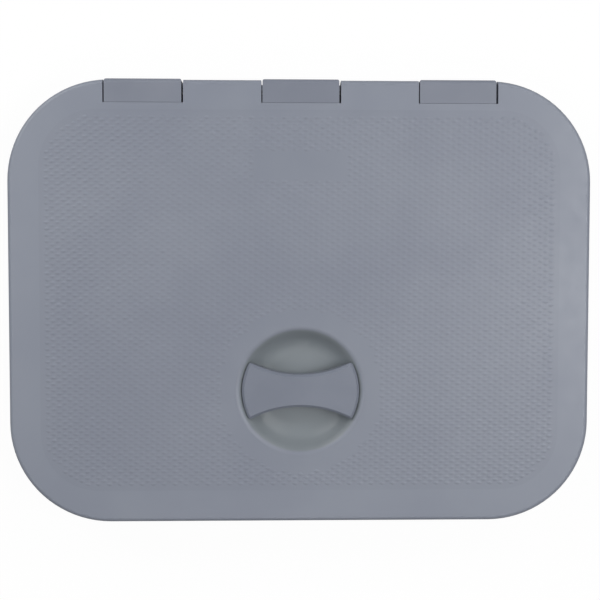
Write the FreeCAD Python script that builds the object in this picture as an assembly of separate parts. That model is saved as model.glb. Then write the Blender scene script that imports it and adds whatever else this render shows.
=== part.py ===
"""Access hatch for a boat's deck: a hinged moulded lid with a turn handle in a finger dish,
on a flanged frame whose collar passes through the deck.

Millimetres. X runs side to side, +Y towards the hinge, +Z up out of the deck.
The origin is the middle of the lid's outline, on the deck (the underside of the frame's flange).
The hatch is closed, and its tongue lies sideways, clear of the frame's lip.
"""
import FreeCAD, Part
import math
import os
from FreeCAD import Vector

# Lid, outside
lid_width = 370.0
lid_depth = 281.0
corner_radius = 64.0
overall_height = 18.0
top_edge_round = 3.0
round_steps = (0.0, 30.0, 60.0, 90.0)
lid_plate = 3.2
skirt_wall = 3.0
skirt_gap = 0.5

# Panel, sunk into the lid's top inside a plain border
panel_side_border = 19.2
panel_front_border = 19.6
panel_rear_border = 18.0
panel_slope = 3.6
panel_sink = 0.7
panel_corner_radius = 37.6

# Finger dish in the panel
dish_from_front = 84.0
dish_radius = 39.5
dish_depth = 13.5
dish_wall_angle = 60.0
dish_floor_blend = 16.0
dish_blend_steps = (60.0, 30.0, 0.0)
dish_rim_ease = 2.4
dish_shell = 2.6

# Turn handle and its stem
handle_end_gap = 1.15
handle_waist = 20.6
handle_end_width = 36.8
handle_corner_round = 1.6
handle_inner_round = 1.0
handle_edge_chamfer = 1.5
handle_proud = 0.2
handle_height = 9.6
handle_wall = 2.6
handle_end_wall = 7.6
handle_foot_angle = 48.0
handle_foot_drop = 4.6
hub_radius = 10.0
hub_lift = 0.6
stem_radius = 6.5
stem_fit = 0.06
stem_boss_radius = 13.5
stem_boss_below_deck = 3.1
drive_square = 8.0
drive_fit = 0.05
drive_short = 0.1
pilot_spare = 1.0
stem_seal_width = 1.5
stem_seal_sink = 1.4
stem_seal_fit = 0.02
stem_seal_play = 0.08

# Tongue and the screw that holds it on the stem
tongue_play = 0.1
tongue_thickness = 4.5
tongue_hub_radius = 13.5
tongue_root_width = 20.0
tongue_tip_width = 15.0
tongue_tip_gap = 0.8
tongue_lip_gap = 0.4
tongue_nose_length = 5.6
tongue_nose_ramp = 3.2
screw_shank_radius = 2.4
screw_fit = 0.02
screw_head_radius = 5.6
screw_head_height = 2.8
screw_length = 13.0
screw_recess_radius = 1.6
screw_recess_depth = 1.6
stop_lug_width = 4.0
stop_lug_height = 2.0
stop_lug_inner_radius = 10.7
stop_clearance = 0.4
latch_turn = 90.0

# Seal under the lid, and its channel
seal_width = 6.0
seal_gap = 0.2
channel_side_play = 0.2
channel_wall = 1.8
rib_depth = 4.4
rib_thickness = 1.8
rib_places_x = (-96.0, -48.0, 48.0, 96.0)
rib_places_y = (8.0, 60.0)

# Frame
flange_thickness = 3.0
flange_inset = 0.8
collar_inset = 31.5
collar_wall = 2.6
collar_depth = 22.0
coaming_inset = 36.6
coaming_wall = 2.4
coaming_height = 9.0

# Holes for the deck screws
deck_screw_inset = 23.5
deck_screw_radius = 2.25

# Hinge
hinge_inset = 7.5
hinge_drop = 6.0
hinge_past_corner = 2.6
frame_knuckle_width = 48.4
frame_knuckle_top_depth = 15.0
frame_knuckle_proud = 0.65
knuckle_corner_round = 1.6
knuckle_gap = 0.95
hinge_end_gap = 1.1
lid_side_shift = 0.2
knuckle_front_gap = 0.18
swing_clearance = 0.4
knuckle_wall = 2.8
pin_radius = 2.0
pin_frame_fit = 0.02
pin_lid_fit = 0.06
pin_inner_end = 3.0
pin_end_clearance = 0.3
pin_entry_radius = 2.5

# How far a cutting shape runs past what it cuts
spare = 1.0

# Places that follow from the sizes above
half_width = lid_width / 2
half_depth = lid_depth / 2
top = overall_height
plate_under = top - lid_plate
panel_top = top - panel_sink
skirt_bottom = flange_thickness + skirt_gap
rib_bottom = plate_under - rib_depth

hinge_y = half_depth - hinge_inset
hinge_z = top - hinge_drop
hinge_end = half_width - corner_radius + hinge_past_corner
frame_knuckle_rear = half_depth + frame_knuckle_proud
frame_knuckle_front = frame_knuckle_rear - frame_knuckle_top_depth
frame_knuckle_radius = math.hypot(hinge_y - frame_knuckle_front, hinge_drop)
lid_recess_radius = frame_knuckle_radius + knuckle_front_gap
swing_radius = math.hypot(hinge_inset - top_edge_round, hinge_drop - top_edge_round) + top_edge_round
frame_knuckles = [
    (-hinge_end, -hinge_end + frame_knuckle_width),
    (-frame_knuckle_width / 2, frame_knuckle_width / 2),
    (hinge_end - frame_knuckle_width, hinge_end),
]

dish_y = -half_depth + dish_from_front
dish_floor = panel_top - dish_depth
handle_top = panel_top + handle_proud
handle_bottom = handle_top - handle_height
boss_bottom = -stem_boss_below_deck
stem_seal_outer = stem_radius + stem_seal_fit + stem_seal_width

tongue_top = boss_bottom - tongue_play
tongue_bottom = tongue_top - tongue_thickness
tongue_reach = dish_from_front - (collar_inset + collar_wall) - tongue_tip_gap
tongue_nose_top = -tongue_lip_gap

seal_top = plate_under
seal_bottom = coaming_height + seal_gap
seal_middle = coaming_inset + coaming_wall / 2
seal_outer = seal_middle - seal_width / 2
seal_inner = seal_middle + seal_width / 2


def outline(inset, z):
    """Closed wire of the lid's outline, moved inwards by inset."""
    return rounded_rectangle(
        -half_width + inset, half_width - inset,
        -half_depth + inset, half_depth - inset,
        corner_radius - inset, z)


def rounded_rectangle(x0, x1, y0, y1, radius, z):
    s = radius * (1 - math.sqrt(0.5))
    p = [
        Vector(x0 + radius, y0, z), Vector(x1 - radius, y0, z),
        Vector(x1 - s, y0 + s, z), Vector(x1, y0 + radius, z),
        Vector(x1, y1 - radius, z), Vector(x1 - s, y1 - s, z),
        Vector(x1 - radius, y1, z), Vector(x0 + radius, y1, z),
        Vector(x0 + s, y1 - s, z), Vector(x0, y1 - radius, z),
        Vector(x0, y0 + radius, z), Vector(x0 + s, y0 + s, z),
    ]
    edges = []
    for i in (0, 3, 6, 9):
        edges.append(Part.makeLine(p[i], p[i + 1]))
        edges.append(Part.Arc(p[i + 1], p[i + 2], p[(i + 3) % 12]).toShape())
    return Part.Wire(edges)


def prism(wire, height):
    return Part.Face(wire).extrude(Vector(0, 0, height))


def slab(inset, z0, z1):
    """Solid inside the outline moved inwards by inset, between two heights."""
    return prism(outline(inset, z0), z1 - z0)


def band(outer_inset, inner_inset, z0, z1):
    """Wall that follows the outline, between two insets and two heights."""
    return slab(outer_inset, z0, z1).cut(slab(inner_inset, z0, z1))


def block(x0, x1, y0, y1, z0, z1):
    return Part.makeBox(x1 - x0, y1 - y0, z1 - z0, Vector(x0, y0, z0))


def upright(radius, z0, z1, x=0.0, y=0.0):
    return Part.makeCylinder(radius, z1 - z0, Vector(x, y, z0))


def hinge_bar(radius, x0, x1):
    """Cylinder on the hinge axis."""
    return Part.makeCylinder(radius, x1 - x0, Vector(x0, hinge_y, hinge_z), Vector(1, 0, 0))


def ring(inner_radius, outer_radius, z0, z1, x=0.0, y=0.0):
    return upright(outer_radius, z0, z1, x, y).cut(upright(inner_radius, z0, z1, x, y))


def revolved(edges):
    """Solid of revolution about the dish's axis, from the edges of half a section."""
    return Part.Face(Part.Wire(edges)).revolve(Vector(0, dish_y, 0), Vector(0, 0, 1), 360)


def lines(points):
    return [Part.makeLine(points[i], points[i + 1]) for i in range(len(points) - 1)]


def edges_where(shape, test):
    return [edge for edge in shape.Edges if test(edge.BoundBox)]


def fuse_all(shapes):
    return shapes[0].multiFuse(shapes[1:]).removeSplitter()


# The dish: a steep wall that runs down into a flat floor by a large blend


def wall_radius(z, grow=0.0):
    """Radius of the dish's wall at a height, or of a cone a set distance outside it."""
    slope = math.radians(dish_wall_angle)
    return dish_radius - (panel_top - z) / math.tan(slope) + grow / math.sin(slope)


def dish_body():
    """The dish's hollow as a solid, its rim eased, up past the panel."""
    slope = math.radians(dish_wall_angle)
    high = panel_top + spare
    rim = [
        Vector(dish_radius + dish_rim_ease + spare / math.tan(slope / 2), dish_y, high),
        Vector(dish_radius - dish_rim_ease * math.cos(slope), dish_y,
               panel_top - dish_rim_ease * math.sin(slope))]
    flat_r = (wall_radius(dish_floor + dish_floor_blend * (1 - math.cos(slope)))
              - dish_floor_blend * math.sin(slope))
    blend = []
    for step in dish_blend_steps:
        angle = math.radians(step)
        blend.append(Vector(flat_r + dish_floor_blend * math.sin(angle), dish_y,
                            dish_floor + dish_floor_blend * (1 - math.cos(angle))))
    axis = [Vector(0, dish_y, dish_floor), Vector(0, dish_y, high)]
    return revolved(lines([axis[1]] + rim + blend + axis))


def bowl():
    """Shell under the dish: its wall, a shoulder and a flat underside."""
    shoulder_z = dish_floor + dish_shell
    flat_z = dish_floor - dish_shell
    flat_r = wall_radius(dish_floor, dish_shell) - dish_floor_blend / 2
    return revolved(lines([
        Vector(0, dish_y, plate_under + spare),
        Vector(wall_radius(plate_under + spare, dish_shell), dish_y, plate_under + spare),
        Vector(wall_radius(shoulder_z, dish_shell), dish_y, shoulder_z),
        Vector(flat_r, dish_y, flat_z),
        Vector(0, dish_y, flat_z),
        Vector(0, dish_y, plate_under + spare)]))


# The lid


def lid_blank():
    """Block inside the lid's outer faces, its top edge rounded in steps."""
    levels = [outline(0, skirt_bottom)]
    for step in round_steps:
        angle = math.radians(step)
        levels.append(outline(top_edge_round * (1 - math.cos(angle)),
                              top - top_edge_round * (1 - math.sin(angle))))
    return Part.makeLoft(levels, True, True)


def panel_pocket():
    """Shallow pocket with soft sloping sides."""
    def level(inset, z):
        return rounded_rectangle(
            -half_width + panel_side_border + inset, half_width - panel_side_border - inset,
            -half_depth + panel_front_border + inset, half_depth - panel_rear_border - inset,
            panel_corner_radius - inset, z)
    flare = panel_slope / panel_sink * spare
    return Part.makeLoft([level(panel_slope, panel_top), level(-flare, top + spare)], True, True)


def lid_knuckle_zone(x0, x1):
    """Round barrel about the hinge axis, carried up to the lid's top."""
    barrel = hinge_bar(hinge_inset, x0, x1)
    head = block(x0, x1, hinge_y - hinge_inset, half_depth, hinge_z, top)
    return barrel.fuse(head)


def rear_relief():
    """What the lid's rear edge loses below the hinge axis, so that it can swing down."""
    low = block(-half_width, half_width, hinge_y, half_depth + spare, 0, hinge_z)
    return low.cut(hinge_bar(hinge_inset, -half_width, half_width))


def frame_knuckle_recess(x0, x1):
    """Room in the lid for one frame knuckle."""
    behind = block(x0, x1, hinge_y, half_depth + spare, 0, top + spare)
    return behind.fuse(hinge_bar(lid_recess_radius, x0, x1))


def recess_spans():
    spans = []
    for x0, x1 in frame_knuckles:
        gap0 = hinge_end_gap if x0 == -hinge_end else knuckle_gap
        gap1 = hinge_end_gap if x1 == hinge_end else knuckle_gap
        spans.append((x0 - gap0 + lid_side_shift, x1 + gap1 + lid_side_shift))
    return spans


def lid_ribs():
    """Stiffening ribs across the underside, inside the seal's channel."""
    inside = slab(seal_inner + channel_side_play, rib_bottom, plate_under)
    half = rib_thickness / 2
    ribs = [block(x - half, x + half, -half_depth, half_depth, rib_bottom, plate_under)
            for x in rib_places_x]
    ribs += [block(-half_width, half_width, y - half, y + half, rib_bottom, plate_under)
             for y in rib_places_y]
    return fuse_all(ribs).common(inside)


def seal_channel():
    outer = band(seal_outer - channel_side_play - channel_wall, seal_outer - channel_side_play,
                 rib_bottom, plate_under)
    inner = band(seal_inner + channel_side_play, seal_inner + channel_side_play + channel_wall,
                 rib_bottom, plate_under)
    return outer.fuse(inner)


def stop_lug():
    """Lug under the stem's boss that ends the handle's turn both ways."""
    lug = block(stop_lug_inner_radius, stem_boss_radius, -stop_lug_width / 2, stop_lug_width / 2,
                boss_bottom - stop_lug_height, boss_bottom + spare)
    lug.rotate(Vector(0, 0, 0), Vector(0, 0, 1), stop_angle())
    lug.translate(Vector(0, dish_y, 0))
    return lug


def stop_angle():
    return 180 - latch_turn / 2


def make_lid():
    hollow = slab(skirt_wall, skirt_bottom - spare, plate_under)
    blank = lid_blank()
    shell = blank.cut(hollow).cut(rear_relief())
    boss = upright(stem_boss_radius, boss_bottom, dish_floor, 0, dish_y)

    spans = recess_spans()
    left_end = spans[0][0] - knuckle_wall
    right_end = spans[2][1] + knuckle_wall
    knuckles = [
        (left_end, spans[0][0]), (spans[0][1], spans[1][0]),
        (spans[1][1], spans[2][0]), (spans[2][1], right_end)]
    zones = [lid_knuckle_zone(x0, x1).common(blank) for x0, x1 in knuckles]

    lid = fuse_all([shell, bowl(), boss, seal_channel(), lid_ribs(), stop_lug()] + zones)
    for x0, x1 in spans:
        lid = lid.cut(frame_knuckle_recess(x0, x1))
    lid = lid.cut(hinge_bar(pin_radius + pin_lid_fit, left_end - spare, right_end + spare))
    lid = lid.cut(hinge_bar(pin_entry_radius, -half_width, left_end - spare))
    lid = lid.cut(hinge_bar(pin_entry_radius, right_end + spare, half_width))
    lid = lid.cut(panel_pocket()).cut(dish_body())
    lid = lid.cut(upright(stem_radius + stem_fit, boss_bottom, panel_top, 0, dish_y))
    lid = lid.cut(upright(stem_seal_outer + stem_seal_play, dish_floor - stem_seal_sink,
                          dish_floor + spare, 0, dish_y))
    return lid.removeSplitter()


def make_lid_seal():
    return band(seal_outer, seal_inner, seal_bottom, seal_top)


# The turn handle


def end_radius(z):
    """Radius of the handle's ends at a height, at a set gap from the dish's wall."""
    return wall_radius(z, -handle_end_gap)


def end_width_radius():
    """Radius of the handle's ends where they are widest, below their top edge."""
    return end_radius(handle_top - handle_edge_chamfer)


def side_centre():
    """Distance from the dish's axis to the centre of a hollow side's arc."""
    return (end_width_radius() ** 2 - (handle_waist / 2) ** 2) / (handle_end_width - handle_waist)


def bow_tie(z, bend, shrink=0.0, end_shrink=0.0):
    """Outline of the handle: round ends and hollow sides, joined by corners of radius bend."""
    end = end_width_radius() - end_shrink
    waist = handle_waist / 2 - shrink
    centre = side_centre()
    side = centre - waist
    y = ((end - bend) ** 2 - (side + bend) ** 2 + centre ** 2) / (2 * centre)
    x = math.sqrt((end - bend) ** 2 - y ** 2)
    to_end = Vector(x, y, 0) / (end - bend)
    to_side = Vector(-x, centre - y, 0) / (side + bend)
    middle = (to_end + to_side).normalize()
    on_end, on_bend, on_side = [
        [Vector(sx * (x + bend * way.x), dish_y + sy * (y + bend * way.y), z)
         for sx, sy in ((1, 1), (-1, 1), (-1, -1), (1, -1))]
        for way in (to_end, middle, to_side)]
    arcs = [
        (on_end[3], Vector(end, dish_y, z), on_end[0]), (on_end[0], on_bend[0], on_side[0]),
        (on_side[0], Vector(0, dish_y + waist, z), on_side[1]), (on_side[1], on_bend[1], on_end[1]),
        (on_end[1], Vector(-end, dish_y, z), on_end[2]), (on_end[2], on_bend[2], on_side[2]),
        (on_side[2], Vector(0, dish_y - waist, z), on_side[3]), (on_side[3], on_bend[3], on_end[3])]
    return Part.Wire([Part.Arc(*arc).toShape() for arc in arcs])


def handle_room():
    """What the handle may fill: parallel to the dish's wall, then a flatter cone to its underside."""
    edge_z = handle_top - handle_edge_chamfer
    knee_z = handle_top - handle_foot_drop
    knee_r = end_radius(knee_z)
    foot_r = knee_r - (knee_z - handle_bottom) / math.tan(math.radians(handle_foot_angle))
    return revolved(lines([
        Vector(0, dish_y, handle_top),
        Vector(end_width_radius() - handle_edge_chamfer, dish_y, handle_top),
        Vector(end_width_radius(), dish_y, edge_z),
        Vector(knee_r, dish_y, knee_z),
        Vector(foot_r, dish_y, handle_bottom),
        Vector(0, dish_y, handle_bottom),
        Vector(0, dish_y, handle_top)]))


def side_chamfer(side):
    """Cone that takes the top edge off one hollow side of the handle."""
    low = side_centre() - handle_waist / 2 - spare
    height = handle_edge_chamfer + 2 * spare
    return Part.makeCone(low, low + height, height, Vector(
        0, dish_y + side * side_centre(), handle_top - handle_edge_chamfer - spare))


def make_handle():
    bar = prism(bow_tie(handle_bottom, handle_corner_round), handle_height)
    bar = bar.common(handle_room()).cut(side_chamfer(1)).cut(side_chamfer(-1))
    core = prism(bow_tie(handle_bottom - spare, handle_inner_round, handle_wall, handle_end_wall),
                 handle_height - handle_wall + spare)
    core = core.cut(upright(hub_radius, handle_bottom - spare, handle_top, 0, dish_y))
    hub = upright(hub_radius, dish_floor + hub_lift, handle_top - handle_wall, 0, dish_y)
    stem = upright(stem_radius, tongue_top, dish_floor + hub_lift, 0, dish_y)
    half = drive_square / 2
    drive = block(-half, half, dish_y - half, dish_y + half, tongue_bottom + drive_short, tongue_top)
    handle = fuse_all([bar.cut(core), hub, stem, drive])
    pilot = upright(screw_shank_radius + screw_fit, tongue_bottom,
                    tongue_bottom + screw_length + pilot_spare, 0, dish_y)
    return handle.cut(pilot)


def make_stem_seal():
    """Square-section seal ring under the hub, in the recess round the stem."""
    return ring(stem_radius + stem_seal_fit, stem_seal_outer,
                dish_floor - stem_seal_sink + stem_seal_play,
                dish_floor + hub_lift - stem_seal_fit, 0, dish_y)


# The tongue below the dish, and its screw


def make_tongue():
    hub = upright(tongue_hub_radius, tongue_bottom, tongue_top)
    tip_radius = tongue_tip_width / 2
    tip_x = tongue_reach - tip_radius
    root = tongue_root_width / 2
    arm = prism(Part.makePolygon([
        Vector(0, -root, tongue_bottom), Vector(tip_x, -tip_radius, tongue_bottom),
        Vector(tip_x, tip_radius, tongue_bottom), Vector(0, root, tongue_bottom),
        Vector(0, -root, tongue_bottom)]), tongue_thickness)
    tip = upright(tip_radius, tongue_bottom, tongue_top, tip_x, 0)
    half = drive_square / 2 + drive_fit
    square = block(-half, half, -half, half, tongue_bottom, tongue_top)
    tongue = fuse_all([hub, arm, tip, tongue_nose(tip_radius, tip_x)]).cut(square).cut(stop_notch())
    tongue.translate(Vector(0, dish_y, 0))
    return tongue


def tongue_nose(tip_radius, tip_x):
    """Raised end that slides up under the frame's lip, ramped on both sides."""
    x0 = tongue_reach - tongue_nose_length
    section = Part.makePolygon([
        Vector(x0, -tip_radius, tongue_bottom), Vector(x0, tip_radius, tongue_bottom),
        Vector(x0, tip_radius, tongue_top), Vector(x0, tip_radius - tongue_nose_ramp, tongue_nose_top),
        Vector(x0, tongue_nose_ramp - tip_radius, tongue_nose_top), Vector(x0, -tip_radius, tongue_top),
        Vector(x0, -tip_radius, tongue_bottom)])
    ridge = Part.Face(section).extrude(Vector(tongue_nose_length, 0, 0))
    return ridge.common(upright(tip_radius, tongue_bottom, tongue_nose_top, tip_x, 0))


def stop_notch():
    """Notch in the hub's top that the lid's stop lug runs in."""
    inner = stop_lug_inner_radius - stop_clearance
    side = math.degrees(math.asin((stop_lug_width / 2 + stop_clearance) / inner))
    floor = boss_bottom - stop_lug_height - stop_clearance
    sector = Part.makeCylinder(tongue_hub_radius + spare, tongue_top - floor,
                               Vector(0, 0, floor), Vector(0, 0, 1), latch_turn + 2 * side)
    sector.rotate(Vector(0, 0, 0), Vector(0, 0, 1), stop_angle() - side)
    return sector.cut(upright(inner, floor, tongue_top))


def make_tongue_screw():
    head_bottom = tongue_bottom - screw_head_height
    head = upright(screw_head_radius, head_bottom, tongue_bottom, 0, dish_y)
    shank = upright(screw_shank_radius, tongue_bottom, tongue_bottom + screw_length, 0, dish_y)
    recess = hexagon(screw_recess_radius, head_bottom, screw_recess_depth)
    return head.fuse(shank).removeSplitter().cut(recess)


def hexagon(radius, z, height):
    corners = []
    for i in range(7):
        angle = math.radians(60 * i)
        corners.append(Vector(radius * math.cos(angle), dish_y + radius * math.sin(angle), z))
    return prism(Part.makePolygon(corners), height)


# The frame


def frame_knuckle(x0, x1):
    front = hinge_y - frame_knuckle_radius
    start = math.atan2(hinge_drop, frame_knuckle_front - hinge_y)
    middle = (start + math.pi) / 2
    bend = top_edge_round * math.sqrt(0.5)
    a = Vector(x0, front, 0)
    b = Vector(x0, front, hinge_z)
    c = Vector(x0, hinge_y + frame_knuckle_radius * math.cos(middle),
               hinge_z + frame_knuckle_radius * math.sin(middle))
    d = Vector(x0, frame_knuckle_front, top)
    e = Vector(x0, frame_knuckle_rear - top_edge_round, top)
    f = Vector(x0, frame_knuckle_rear - top_edge_round + bend, top - top_edge_round + bend)
    g = Vector(x0, frame_knuckle_rear, top - top_edge_round)
    h = Vector(x0, frame_knuckle_rear, 0)
    wire = Part.Wire([
        Part.makeLine(a, b), Part.Arc(b, c, d).toShape(), Part.makeLine(d, e),
        Part.Arc(e, f, g).toShape(), Part.makeLine(g, h), Part.makeLine(h, a)])
    solid = Part.Face(wire).extrude(Vector(x1 - x0, 0, 0))
    plan = block(x0, x1, front, frame_knuckle_rear, 0, top)
    corners = edges_where(plan, lambda box: box.ZLength > top - spare and box.YMin > hinge_y)
    return solid.common(plan.makeFillet(knuckle_corner_round, corners))


def deck_screw_places():
    """Places of the deck screws: the corners, and the middle of each side."""
    x = half_width - deck_screw_inset
    y = half_depth - deck_screw_inset
    bend = (corner_radius - deck_screw_inset) * (1 - math.sqrt(0.5))
    places = [(sx * (x - bend), sy * (y - bend)) for sx in (-1, 1) for sy in (-1, 1)]
    return places + [(0.0, -y), (0.0, y), (-x, 0.0), (x, 0.0)]


def make_frame():
    flange = band(flange_inset, coaming_inset + coaming_wall, 0, flange_thickness)
    flange = flange.cut(hinge_bar(swing_radius + swing_clearance, -half_width, half_width))
    coaming = band(coaming_inset, coaming_inset + coaming_wall, 0, coaming_height)
    collar = band(collar_inset, collar_inset + collar_wall, -collar_depth, flange_thickness / 2)
    knuckles = [frame_knuckle(x0, x1) for x0, x1 in frame_knuckles]
    frame = fuse_all([flange, coaming, collar] + knuckles)
    frame = frame.cut(hinge_bar(pin_radius + pin_frame_fit, -hinge_end, hinge_end))
    for x, y in deck_screw_places():
        frame = frame.cut(upright(deck_screw_radius, 0, flange_thickness, x, y))
    return frame.removeSplitter()


def make_hinge_pin(side):
    inner = side * pin_inner_end
    outer = side * (hinge_end + hinge_end_gap + knuckle_wall - pin_end_clearance)
    return hinge_bar(pin_radius, min(inner, outer), max(inner, outer))


parts = {
    "frame": make_frame(),
    "hinge_pin_left": make_hinge_pin(-1),
    "hinge_pin_right": make_hinge_pin(1),
    "lid": make_lid(),
    "lid_seal": make_lid_seal(),
    "handle": make_handle(),
    "stem_seal": make_stem_seal(),
    "tongue": make_tongue(),
    "tongue_screw": make_tongue_screw(),
}

os.makedirs("parts", exist_ok=True)
for name, shape in parts.items():
    shape.exportStep("parts/" + name + ".step")
    print(name, len(shape.Solids), "solid", round(shape.Volume / 1000, 2), "cm3", shape.isValid())
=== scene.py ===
import math

import bpy
import numpy as np
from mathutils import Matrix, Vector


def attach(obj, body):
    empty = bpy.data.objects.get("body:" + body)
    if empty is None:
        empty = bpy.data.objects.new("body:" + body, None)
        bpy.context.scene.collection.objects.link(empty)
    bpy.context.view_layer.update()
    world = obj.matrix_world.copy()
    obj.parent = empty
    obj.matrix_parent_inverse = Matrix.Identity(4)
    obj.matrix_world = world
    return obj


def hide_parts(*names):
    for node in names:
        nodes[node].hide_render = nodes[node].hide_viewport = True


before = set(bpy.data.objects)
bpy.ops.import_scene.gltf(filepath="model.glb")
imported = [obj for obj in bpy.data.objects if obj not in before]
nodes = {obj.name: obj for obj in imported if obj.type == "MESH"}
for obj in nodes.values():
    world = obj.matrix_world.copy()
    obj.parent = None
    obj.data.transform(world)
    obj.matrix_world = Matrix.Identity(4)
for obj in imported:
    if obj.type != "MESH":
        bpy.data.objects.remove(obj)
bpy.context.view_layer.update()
mm = 0.001
dishY = -56.5 * mm  # middle of the finger dish and of the turn handle
print("frame loaded:", len(nodes), "CAD nodes")


# Camera, at the place and angle of the photograph

cameraSettings = {
    "lens": 56.43,
    "sensor": 36.0,
    "place": (-14.43 * mm, 26.95 * mm, 614.6 * mm),
    "turn": (-0.0422193, -0.0233595, 0.0000413),  # radians, about Z first, then Y, then X
}


def makeCamera(settings):
    data = bpy.data.cameras.new("photoCamera")
    data.sensor_width = settings["sensor"]
    data.lens = settings["lens"]
    camera = bpy.data.objects.new("photoCamera", data)
    bpy.context.scene.collection.objects.link(camera)
    camera.location = settings["place"]
    camera.rotation_mode = "ZYX"
    camera.rotation_euler = settings["turn"]
    bpy.context.scene.camera = camera


makeCamera(cameraSettings)
print("camera placed")


# Small helpers for working on one piece at a time

def pickOnly(piece):
    bpy.ops.object.select_all(action="DESELECT")
    piece.select_set(True)
    bpy.context.view_layer.objects.active = piece


def applyAll(piece):
    pickOnly(piece)
    for name in [modifier.name for modifier in piece.modifiers]:
        bpy.ops.object.modifier_apply(modifier=name)


def paint(piece, material):
    piece.data.materials.clear()
    piece.data.materials.append(material)
    piece.data.polygons.foreach_set("material_index", [0] * len(piece.data.polygons))


# Small helpers for building shaders

def feed(tree, value, socket):
    # another node's socket is linked, a plain number or colour is set
    if hasattr(value, "is_output"):
        tree.links.new(value, socket)
    else:
        socket.default_value = value


def addNoise(tree, vector, scale, detail, roughness=0.5):
    noise = tree.nodes.new("ShaderNodeTexNoise")
    feed(tree, vector, noise.inputs["Vector"])
    feed(tree, scale, noise.inputs["Scale"])
    feed(tree, detail, noise.inputs["Detail"])
    feed(tree, roughness, noise.inputs["Roughness"])
    return noise.outputs["Fac"]


def addRange(tree, value, fromLow, fromHigh, toLow, toHigh, smooth=False):
    spread = tree.nodes.new("ShaderNodeMapRange")
    spread.interpolation_type = "SMOOTHSTEP" if smooth else "LINEAR"
    feed(tree, value, spread.inputs["Value"])
    feed(tree, fromLow, spread.inputs["From Min"])
    feed(tree, fromHigh, spread.inputs["From Max"])
    feed(tree, toLow, spread.inputs["To Min"])
    feed(tree, toHigh, spread.inputs["To Max"])
    return spread.outputs["Result"]


def colourSocket(sockets, name):
    return next(socket for socket in sockets if socket.name == name and socket.type == "RGBA")


def addMix(tree, factor, colourA, colourB):
    mix = tree.nodes.new("ShaderNodeMix")
    mix.data_type = "RGBA"
    feed(tree, factor, mix.inputs["Factor"])
    feed(tree, colourA, colourSocket(mix.inputs, "A"))
    feed(tree, colourB, colourSocket(mix.inputs, "B"))
    return colourSocket(mix.outputs, "Result")


def addMath(tree, operation, a, b=0.0):
    node = tree.nodes.new("ShaderNodeMath")
    node.operation = operation
    feed(tree, a, node.inputs[0])
    feed(tree, b, node.inputs[1])
    return node.outputs["Value"]


def addVectorMath(tree, operation, a, b=(0.0, 0.0, 0.0)):
    node = tree.nodes.new("ShaderNodeVectorMath")
    node.operation = operation
    feed(tree, a, node.inputs[0])
    feed(tree, b, node.inputs[1])
    return node.outputs["Value" if operation == "LENGTH" else "Vector"]


def addAxes(tree, vector):
    axes = tree.nodes.new("ShaderNodeSeparateXYZ")
    tree.links.new(vector, axes.inputs["Vector"])
    return axes.outputs


# Shader groups that the materials share

mouldLook = {
    "cloudDetail": 3.0,
    "cloudRoughness": 0.55,
    "cloudRange": (0.32, 0.68),
    "patchScale": 95.0,
    "patchDetail": 4.0,
    "patchRoughness": 0.6,
    "patchRange": (0.3, 0.7),
    "grainDetail": 2.0,
}
steelLook = {
    "lineScale": 900.0,
    "lineDetail": 3.0,
    "lineRoughness": 0.7,
    "lineRange": (0.3, 0.7),
    "gloss": (0.22, 0.42),
    "stainScale": 260.0,
    "stainDetail": 3.0,
    "stainRange": (0.35, 0.6),
}


def startGroup(name, inputs):
    group = bpy.data.node_groups.new(name, "ShaderNodeTree")
    for label, kind in inputs:
        group.interface.new_socket(label, in_out="INPUT", socket_type=kind)
    for label, kind in (("Color", "NodeSocketColor"), ("Roughness", "NodeSocketFloat"),
                        ("Height", "NodeSocketFloat")):
        group.interface.new_socket(label, in_out="OUTPUT", socket_type=kind)
    return group, group.nodes.new("NodeGroupInput").outputs


def finishGroup(group, colour, roughness, height):
    outside = group.nodes.new("NodeGroupOutput")
    group.links.new(colour, outside.inputs["Color"])
    group.links.new(roughness, outside.inputs["Roughness"])
    group.links.new(height, outside.inputs["Height"])
    return group


def makeMouldGroup(look):
    # cloudy colour, patchy gloss and fine spark-erosion grain of a moulded plastic
    group, given = startGroup("mouldSurface", [
        ("Vector", "NodeSocketVector"),
        ("Light", "NodeSocketColor"),
        ("Dark", "NodeSocketColor"),
        ("Cloud Scale", "NodeSocketFloat"),
        ("Grain Scale", "NodeSocketFloat"),
        ("Gloss Low", "NodeSocketFloat"),
        ("Gloss High", "NodeSocketFloat"),
    ])
    vector = given["Vector"]
    cloud = addNoise(group, vector, given["Cloud Scale"], look["cloudDetail"], look["cloudRoughness"])
    cloudShare = addRange(group, cloud, *look["cloudRange"], 0.0, 1.0, smooth=True)
    colour = addMix(group, cloudShare, given["Dark"], given["Light"])
    patches = addNoise(group, vector, look["patchScale"], look["patchDetail"], look["patchRoughness"])
    gloss = addRange(group, patches, *look["patchRange"], given["Gloss Low"], given["Gloss High"])
    grain = addNoise(group, vector, given["Grain Scale"], look["grainDetail"])
    return finishGroup(group, colour, gloss, grain)


def makeSteelGroup(look):
    # fine turning lines round a steel pin or screw, with small stains
    group, given = startGroup("turnedSteel", [
        ("Vector", "NodeSocketVector"),
        ("Light", "NodeSocketColor"),
        ("Dark", "NodeSocketColor"),
        ("Line Stretch", "NodeSocketVector"),
    ])
    stretched = addVectorMath(group, "MULTIPLY", given["Vector"], given["Line Stretch"])
    lines = addNoise(group, stretched, look["lineScale"], look["lineDetail"], look["lineRoughness"])
    gloss = addRange(group, lines, *look["lineRange"], *look["gloss"])
    stains = addNoise(group, given["Vector"], look["stainScale"], look["stainDetail"])
    stainShare = addRange(group, stains, *look["stainRange"], 0.0, 1.0, smooth=True)
    colour = addMix(group, stainShare, given["Dark"], given["Light"])
    return finishGroup(group, colour, gloss, lines)


mouldGroup = makeMouldGroup(mouldLook)
steelGroup = makeSteelGroup(steelLook)
print("shader groups built")


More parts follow.
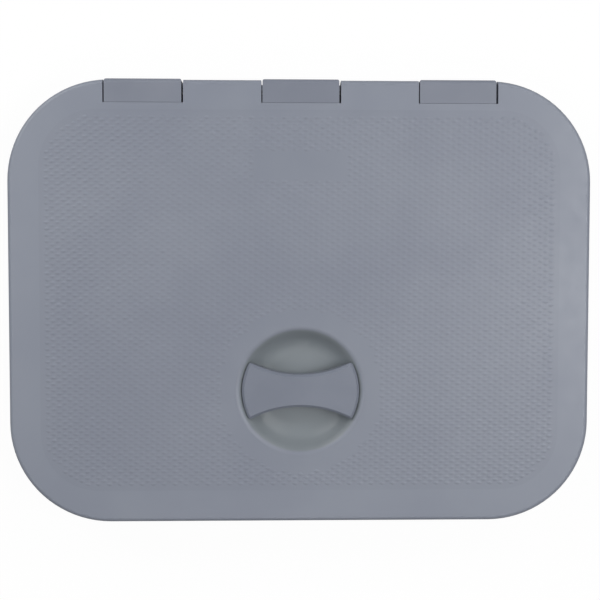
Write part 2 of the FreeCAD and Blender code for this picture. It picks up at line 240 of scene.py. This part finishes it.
# Materials, one for each kind of plastic, rubber and steel

framePlastic = {
    "group": {"Light": (0.239, 0.258, 0.311, 1), "Dark": (0.214, 0.233, 0.285, 1),
              "Cloud Scale": 16.0, "Grain Scale": 2600.0, "Gloss Low": 0.38, "Gloss High": 0.48},
    "bumpStrength": 0.25,
    "bumpDepth": 0.05 * mm,
    "shader": {"Specular IOR Level": 0.5},
}
handlePlastic = {
    "group": {"Light": (0.222, 0.243, 0.298, 1), "Dark": (0.205, 0.225, 0.278, 1),
              "Cloud Scale": 30.0, "Grain Scale": 3000.0, "Gloss Low": 0.36, "Gloss High": 0.44},
    "bumpStrength": 0.2,
    "bumpDepth": 0.04 * mm,
    "shader": {"Specular IOR Level": 0.5},
}
tongueNylon = {
    "group": {"Light": (0.032, 0.033, 0.035, 1), "Dark": (0.02, 0.021, 0.022, 1),
              "Cloud Scale": 60.0, "Grain Scale": 2200.0, "Gloss Low": 0.45, "Gloss High": 0.6},
    "bumpStrength": 0.3,
    "bumpDepth": 0.06 * mm,
    "shader": {"Specular IOR Level": 0.45},
}
sealRubber = {
    "group": {"Light": (0.03, 0.03, 0.03, 1), "Dark": (0.016, 0.016, 0.017, 1),
              "Cloud Scale": 45.0, "Grain Scale": 1500.0, "Gloss Low": 0.7, "Gloss High": 0.88},
    "bumpStrength": 0.45,
    "bumpDepth": 0.1 * mm,
    "shader": {"Specular IOR Level": 0.35},
}
# painted shade: the pins' steel is coloured far darker than the screw's, for the shade of the hinge slots
# they sit in
pinSteel = {
    "group": {"Light": (0.24, 0.24, 0.235, 1), "Dark": (0.15, 0.15, 0.15, 1),
              "Line Stretch": (4.0, 0.15, 0.15)},  # the pins lie along X
    "bumpStrength": 0.15,
    "bumpDepth": 0.02 * mm,
    "shader": {"Metallic": 1.0},
}
screwSteel = {
    "group": {"Light": (0.6, 0.6, 0.6, 1), "Dark": (0.44, 0.44, 0.44, 1),
              "Line Stretch": (0.3, 0.3, 4.0)},  # the screw stands along Z
    "bumpStrength": 0.15,
    "bumpDepth": 0.02 * mm,
    "shader": {"Metallic": 1.0},
}


def makeMaterial(name, group, settings):
    material = bpy.data.materials.new(name)
    material.use_nodes = True
    tree = material.node_tree
    shader = tree.nodes["Principled BSDF"]
    place = tree.nodes.new("ShaderNodeTexCoord")
    place.name = "place"
    surface = tree.nodes.new("ShaderNodeGroup")
    surface.name = "surface"
    surface.node_tree = group
    tree.links.new(place.outputs["Object"], surface.inputs["Vector"])
    for label, value in settings["group"].items():
        surface.inputs[label].default_value = value
    bump = tree.nodes.new("ShaderNodeBump")
    bump.inputs["Strength"].default_value = settings["bumpStrength"]
    bump.inputs["Distance"].default_value = settings["bumpDepth"]
    tree.links.new(surface.outputs["Height"], bump.inputs["Height"])
    tree.links.new(surface.outputs["Color"], shader.inputs["Base Color"])
    tree.links.new(surface.outputs["Roughness"], shader.inputs["Roughness"])
    tree.links.new(bump.outputs["Normal"], shader.inputs["Normal"])
    for label, value in settings["shader"].items():
        shader.inputs[label].default_value = value
    return material


frameMaterial = makeMaterial("framePlastic", mouldGroup, framePlastic)
handleMaterial = makeMaterial("handlePlastic", mouldGroup, handlePlastic)
tongueMaterial = makeMaterial("tongueNylon", mouldGroup, tongueNylon)
rubberMaterial = makeMaterial("sealRubber", mouldGroup, sealRubber)
pinMaterial = makeMaterial("pinSteel", steelGroup, pinSteel)
screwMaterial = makeMaterial("screwSteel", steelGroup, screwSteel)
print("materials made")


# The lid's plastic: the same all over, with painted shade that makes it a little darker on the panel and
# darker and greyer in the dish

lidPlastic = {
    "group": {"Light": (0.268, 0.291, 0.347, 1), "Dark": (0.246, 0.268, 0.326, 1),
              "Cloud Scale": 11.0, "Grain Scale": 2600.0, "Gloss Low": 0.36, "Gloss High": 0.46},
    "bumpStrength": 0.25,
    "bumpDepth": 0.05 * mm,
    "shader": {"Specular IOR Level": 0.5},
}
panelShade = {
    "share": 0.965,  # painted shade: the panel is coloured at this share of the border's colour
    "below": 17.85 * mm,  # between the tips of the grip's bumps and the border
    "side": 168.0 * mm,
    "front": -122.0 * mm,
    "rear": 123.0 * mm,
}
# painted shade: the dish's hollow is coloured darker and greyer than the same plastic round it
dishPaintedShade = {
    "centre": (0.0, dishY, 0.0),
    "inner": 38.2 * mm,  # all of the painted shade inside this radius
    "outer": 39.9 * mm,  # and none outside this one
    "upward": 0.02,  # least rise of a face's normal, which leaves the dish's underside plain
    "colour": (0.24, 0.267, 0.288, 1),
}


# 1 on the sunk panel, where painted shade darkens the plastic's colour
def panelMask(tree, place, shade):
    axes = addAxes(tree, place.outputs["Object"])
    aside = addMath(tree, "ABSOLUTE", axes["X"])
    mask = addMath(tree, "LESS_THAN", axes["Z"], shade["below"])
    for test in (addMath(tree, "LESS_THAN", aside, shade["side"]),
                 addMath(tree, "GREATER_THAN", axes["Y"], shade["front"]),
                 addMath(tree, "LESS_THAN", axes["Y"], shade["rear"])):
        mask = addMath(tree, "MULTIPLY", mask, test)
    return mask


# 1 in the dish's hollow, where painted shade darkens and greys the colour, fading out at its rim
def dishMask(tree, place, dishShade):
    offset = addVectorMath(tree, "SUBTRACT", place.outputs["Object"], dishShade["centre"])
    radius = addVectorMath(tree, "LENGTH", addVectorMath(tree, "MULTIPLY", offset, (1, 1, 0)))
    inside = addRange(tree, radius, dishShade["inner"], dishShade["outer"], 1.0, 0.0, smooth=True)
    rise = addAxes(tree, place.outputs["Normal"])["Z"]
    return addMath(tree, "MULTIPLY", inside, addMath(tree, "GREATER_THAN", rise, dishShade["upward"]))


def makeLidMaterial(settings, shade, dishShade):
    material = makeMaterial("lidPlastic", mouldGroup, settings)
    tree = material.node_tree
    place = tree.nodes["place"]
    plain = tree.nodes["surface"].outputs["Color"]
    # painted shade: a darker copy of the plastic's colour on the panel
    darker = addVectorMath(tree, "MULTIPLY", plain, (shade["share"], shade["share"], shade["share"]))
    shaded = addMix(tree, panelMask(tree, place, shade), plain, darker)
    # painted shade: the dish's hollow takes the darker, greyer colour
    dishShaded = addMix(tree, dishMask(tree, place, dishShade), shaded, dishShade["colour"])
    tree.links.new(dishShaded, tree.nodes["Principled BSDF"].inputs["Base Color"])
    return material


lidMaterial = makeLidMaterial(lidPlastic, panelShade, dishPaintedShade)
print("lid material made")


# Pins, screw, tongue and seals, which stay as the CAD solids

smallPieces = {
    "hinge_pin_left": pinMaterial,
    "hinge_pin_right": pinMaterial,
    "tongue_screw": screwMaterial,
    "tongue": tongueMaterial,
    "lid_seal": rubberMaterial,
    "stem_seal": rubberMaterial,
}
for name, material in smallPieces.items():
    paint(nodes[name], material)
print("small pieces painted:", len(smallPieces))


# Mouldings: the CAD solids' faces with softened edges

# edges sharper than "angle" are rounded, and faces that meet under "smooth" are shaded as one
mouldings = {
    "frame": {"piece": "frameMoulding", "edge": 0.35 * mm, "segments": 2, "angle": 40.0, "smooth": 44.0},
    "lid": {"piece": "lidMoulding", "edge": 0.3 * mm, "segments": 2, "angle": 40.0, "smooth": 44.0},
    "handle": {"piece": "turnHandle", "edge": 0.5 * mm, "segments": 3, "angle": 28.0, "smooth": 44.0},
}
joining = {
    "distance": 0.002 * mm,  # of points that are one
    "flat": 0.4,  # degrees between two faces that are one
    "upward": 0.02,  # least rise of a face's normal: what looks down is left as it is
}
hingeEdges = {  # the edges along the hinge's gaps, which stay crisp
    "front": 122.0 * mm,
    "rear": 139.0 * mm,
    "bottom": 6.0 * mm,
    "end": 126.0 * mm,
}


def joinFlatFaces(piece, settings):
    # starts and ends in edit mode
    bpy.ops.mesh.select_all(action="SELECT")
    bpy.ops.mesh.remove_doubles(threshold=settings["distance"])
    bpy.ops.mesh.select_mode(type="FACE")
    bpy.ops.mesh.select_all(action="DESELECT")
    bpy.ops.object.mode_set(mode="OBJECT")
    for face in piece.data.polygons:
        face.select = face.normal.z > settings["upward"]
    bpy.ops.object.mode_set(mode="EDIT")
    bpy.ops.mesh.dissolve_limited(angle_limit=math.radians(settings["flat"]))


def besideHinge(place, settings):
    inDepth = settings["front"] < place.y < settings["rear"]
    return inDepth and place.z > settings["bottom"] and abs(place.x) < settings["end"]


def roundEdges(piece, settings):
    # starts and ends in edit mode
    bpy.ops.mesh.select_mode(type="EDGE")
    bpy.ops.mesh.select_all(action="DESELECT")
    bpy.ops.mesh.edges_select_sharp(sharpness=math.radians(settings["angle"]))
    bpy.ops.object.mode_set(mode="OBJECT")
    points = piece.data.vertices
    for edge in piece.data.edges:
        middle = (points[edge.vertices[0]].co + points[edge.vertices[1]].co) / 2
        if edge.select and besideHinge(middle, hingeEdges):
            edge.select = False
    bpy.ops.object.mode_set(mode="EDIT")
    bpy.ops.mesh.bevel(offset=settings["edge"], segments=settings["segments"], affect="EDGES",
                       clamp_overlap=True, miter_outer="ARC")


def softenedCopy(nodeName, settings, body, material):
    piece = bpy.data.objects.new(settings["piece"], nodes[nodeName].data.copy())
    bpy.context.scene.collection.objects.link(piece)
    pickOnly(piece)
    bpy.ops.mesh.customdata_custom_splitnormals_clear()
    bpy.ops.object.mode_set(mode="EDIT")
    joinFlatFaces(piece, joining)
    roundEdges(piece, settings)
    bpy.ops.object.mode_set(mode="OBJECT")
    bpy.ops.object.shade_smooth_by_angle(angle=math.radians(settings["smooth"]))
    weighted = piece.modifiers.new("evenShading", "WEIGHTED_NORMAL")
    weighted.keep_sharp = True
    applyAll(piece)
    paint(piece, material)
    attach(piece, body)
    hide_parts(nodeName)
    print(piece.name, "softened:", len(piece.data.polygons), "faces")


softenedCopy("frame", mouldings["frame"], "frame", frameMaterial)
softenedCopy("lid", mouldings["lid"], "lid", lidMaterial)
softenedCopy("handle", mouldings["handle"], "handle", handleMaterial)


# Grip: low diamond-like bumps in staggered rows, like a coarse weave, over the sunk panel

grip = {
    "pitchX": 6.96 * mm,
    "rowPitch": 2.008 * mm,
    "bumpLength": 6.7 * mm,
    "bumpWidth": 3.8 * mm,
    "bumpHeight": 0.49 * mm,
    "sides": 8,
    "pinch": 0.74,  # the corners between the four points are drawn in to this share
    "onAxis": 0.1,  # in the unit-sized bump, what is this near an axis lies on it
    "ringSize": 0.6,  # the upper ring's share of the foot
    "ringHeight": 0.72,  # and its share of the height
    "smooth": 60.0,  # degrees
    "base": 17.3 * mm,  # the panel's own height
    "sunk": 0.06 * mm,  # how far a bump's foot runs into the panel
    "side": 162.0 * mm,
    "front": -117.0 * mm,
    "rear": 118.4 * mm,
    "corner": 34.0 * mm,
    "dishClear": 52.0 * mm,
    "bareX": 30.0 * mm,  # the plain patch near the hinge
    "bareFront": 78.5 * mm,
    "bareRear": 96.0 * mm,
}


def makeBump(settings):
    # a foot ring, a smaller ring and a tip, closed below, one unit in size until the end
    bpy.ops.mesh.primitive_cylinder_add(vertices=settings["sides"], radius=0.5, depth=1.0,
                                        end_fill_type="NGON", location=(0, 0, 0.5))
    bump = bpy.context.object
    bump.name = "gripBumps"
    bpy.ops.object.mode_set(mode="EDIT")
    bpy.ops.mesh.select_mode(type="FACE")
    bpy.ops.mesh.select_all(action="DESELECT")
    bpy.ops.object.mode_set(mode="OBJECT")
    topFace = max(bump.data.polygons, key=lambda face: face.center.z)
    topFace.select = True
    bpy.ops.object.mode_set(mode="EDIT")
    bpy.ops.transform.translate(value=(0, 0, settings["ringHeight"] - 1))
    bpy.ops.transform.resize(value=(settings["ringSize"], settings["ringSize"], 1), center_override=(0, 0, 0))
    bpy.ops.mesh.poke(offset=1 - settings["ringHeight"])
    bpy.ops.mesh.select_mode(type="VERT")
    bpy.ops.mesh.select_all(action="DESELECT")
    bpy.ops.object.mode_set(mode="OBJECT")
    for vertex in bump.data.vertices:  # the tip and the four points lie on the axes
        vertex.select = min(abs(vertex.co.x), abs(vertex.co.y)) > settings["onAxis"]
    bpy.ops.object.mode_set(mode="EDIT")
    bpy.ops.transform.resize(value=(settings["pinch"], settings["pinch"], 1), center_override=(0, 0, 0))
    bpy.ops.object.mode_set(mode="OBJECT")
    bump.scale = (settings["bumpLength"], settings["bumpWidth"], settings["bumpHeight"] + settings["sunk"])
    bump.location = (0, 0, settings["base"] - settings["sunk"])
    bpy.ops.object.transform_apply(location=True, rotation=False, scale=True)
    return bump


def repeatBump(bump, settings):
    # the bump and its neighbour, half a pitch aside and a row on, fill a sheet larger than the panel
    columns = 2 * int(settings["side"] / settings["pitchX"]) + 3
    rows = int((settings["rear"] - settings["front"]) / settings["rowPitch"] / 2) + 2
    startX = -((columns + 1) // 2) * settings["pitchX"]
    startY = settings["front"] - settings["rowPitch"] / 2
    pickOnly(bump)
    bpy.ops.object.mode_set(mode="EDIT")
    bpy.ops.mesh.select_all(action="SELECT")
    bpy.ops.mesh.duplicate()
    bpy.ops.transform.translate(value=(settings["pitchX"] / 2, settings["rowPitch"], 0))
    bpy.ops.object.mode_set(mode="OBJECT")
    for label, count, step in (("across", columns, (settings["pitchX"], 0, 0)),
                               ("along", rows, (0, 2 * settings["rowPitch"], 0))):
        repeat = bump.modifiers.new(label, "ARRAY")
        repeat.count = count
        repeat.use_relative_offset = False
        repeat.use_constant_offset = True
        repeat.constant_offset_displace = step
    applyAll(bump)
    bpy.ops.object.mode_set(mode="EDIT")
    bpy.ops.mesh.select_all(action="SELECT")
    bpy.ops.transform.translate(value=(startX, startY, 0))
    bpy.ops.mesh.select_all(action="DESELECT")
    bpy.ops.object.mode_set(mode="OBJECT")


def insidePanel(x, y, settings):
    # a bump whose middle is inside the flat of the panel stays; its end may run out on the slope
    cornerX = settings["side"] - settings["corner"]
    rearY = settings["rear"] - settings["corner"]
    frontY = settings["front"] + settings["corner"]
    pastX = np.maximum(np.abs(x) - cornerX, 0)
    pastY = np.maximum(np.maximum(y - rearY, frontY - y), 0)
    panel = np.hypot(pastX, pastY) < settings["corner"]
    dish = np.hypot(x, y - dishY) < settings["dishClear"]
    bare = (np.abs(x) < settings["bareX"]) & (y > settings["bareFront"]) & (y < settings["bareRear"])
    return panel & ~dish & ~bare


def trimToPanel(bump, pointsEach, settings):
    places = np.empty(len(bump.data.vertices) * 3)
    bump.data.vertices.foreach_get("co", places)
    middles = places.reshape(-1, pointsEach, 3).mean(axis=1)
    keep = insidePanel(middles[:, 0], middles[:, 1], settings)
    bump.data.vertices.foreach_set("select", np.repeat(~keep, pointsEach))
    bpy.ops.object.mode_set(mode="EDIT")
    bpy.ops.mesh.delete(type="VERT")
    bpy.ops.object.mode_set(mode="OBJECT")
    return int(keep.sum())


def makeGrip(settings):
    bump = makeBump(settings)
    pointsEach = len(bump.data.vertices)
    repeatBump(bump, settings)
    count = trimToPanel(bump, pointsEach, settings)
    bpy.ops.object.shade_smooth_by_angle(angle=math.radians(settings["smooth"]))
    paint(bump, lidMaterial)
    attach(bump, "lid")
    print("grip made:", count, "bumps,", len(bump.data.polygons), "faces")


makeGrip(grip)


# Floor, lamps and background

studio = {
    "floorZ": -22.0 * mm,
    "floorSize": 6.0,
    "floorColour": (0.5, 0.5, 0.5, 1),
    "floorRoughness": 0.9,
    "floorGlow": 0.9,  # share of plain white in the camera's view, so that a trace of shadow stays
    "glowNear": 0.4,  # metres from the middle at which that share starts to grow
    "glowFar": 1.0,  # and at which it is the whole, so that no horizon shows
    "glowStrength": 1.06,
    "worldColour": (1.0, 1.0, 1.0, 1),
    "worldStrength": 0.1,
    "backdropColour": (1.0, 1.0, 1.0, 1),  # in the camera's view alone
    "lampAim": (0.0, 0.0, 0.0),
}
lamps = {
    "rightHigh": {"place": (0.64, 0.0, 1.02), "size": (0.5, 0.5), "watts": 5.3},
    "leftHigh": {"place": (-0.64, 0.0, 1.02), "size": (0.5, 0.5), "watts": 1.7},
    "frontHigh": {"place": (0.0, -0.64, 1.02), "size": (0.5, 0.5), "watts": 1.7},
    "rearRight": {"place": (0.65, 0.65, 0.77), "size": (0.6, 0.5), "watts": 2.6},
    "rearLeft": {"place": (-0.65, 0.65, 0.77), "size": (0.6, 0.5), "watts": 3.3},
    "rearLeftLow": {"place": (-0.8, 0.8, 0.41), "size": (0.7, 0.4), "watts": 2.4},
}


def makeFloor(settings):
    bpy.ops.mesh.primitive_plane_add(size=settings["floorSize"], location=(0, 0, settings["floorZ"]))
    floor = bpy.context.object
    floor.name = "studioFloor"
    material = bpy.data.materials.new("studioFloor")
    material.use_nodes = True
    tree = material.node_tree
    shader = tree.nodes["Principled BSDF"]
    shader.inputs["Base Color"].default_value = settings["floorColour"]
    shader.inputs["Roughness"].default_value = settings["floorRoughness"]
    glow = tree.nodes.new("ShaderNodeEmission")
    glow.inputs["Strength"].default_value = settings["glowStrength"]
    place = tree.nodes.new("ShaderNodeTexCoord").outputs["Object"]
    glowShare = addRange(tree, addVectorMath(tree, "LENGTH", place), settings["glowNear"],
                         settings["glowFar"], settings["floorGlow"], 1.0, smooth=True)
    path = tree.nodes.new("ShaderNodeLightPath")
    mix = tree.nodes.new("ShaderNodeMixShader")
    tree.links.new(addMath(tree, "MULTIPLY", path.outputs["Is Camera Ray"], glowShare), mix.inputs["Fac"])
    tree.links.new(shader.outputs["BSDF"], mix.inputs[1])
    tree.links.new(glow.outputs["Emission"], mix.inputs[2])
    tree.links.new(mix.outputs["Shader"], tree.nodes["Material Output"].inputs["Surface"])
    paint(floor, material)


def makeWorld(settings):
    world = bpy.data.worlds.new("studioWorld")
    bpy.context.scene.world = world
    world.use_nodes = True
    tree = world.node_tree
    light = tree.nodes["Background"]
    light.inputs["Color"].default_value = settings["worldColour"]
    light.inputs["Strength"].default_value = settings["worldStrength"]
    backdrop = tree.nodes.new("ShaderNodeBackground")
    backdrop.inputs["Color"].default_value = settings["backdropColour"]
    path = tree.nodes.new("ShaderNodeLightPath")
    mix = tree.nodes.new("ShaderNodeMixShader")
    tree.links.new(path.outputs["Is Camera Ray"], mix.inputs["Fac"])
    tree.links.new(light.outputs["Background"], mix.inputs[1])
    tree.links.new(backdrop.outputs["Background"], mix.inputs[2])
    tree.links.new(mix.outputs["Shader"], tree.nodes["World Output"].inputs["Surface"])


def makeLamp(name, settings, aim):
    data = bpy.data.lights.new(name, "AREA")
    data.shape = "RECTANGLE"
    data.size, data.size_y = settings["size"]
    data.energy = settings["watts"]
    lamp = bpy.data.objects.new(name, data)
    bpy.context.scene.collection.objects.link(lamp)
    lamp.location = settings["place"]
    direction = [a - b for a, b in zip(aim, settings["place"])]
    lamp.rotation_euler = Vector(direction).to_track_quat("-Z", "Y").to_euler()


makeFloor(studio)
makeWorld(studio)
for name, settings in lamps.items():
    makeLamp(name, settings, studio["lampAim"])
bpy.context.scene.view_settings.view_transform = "Standard"
print("studio lit")
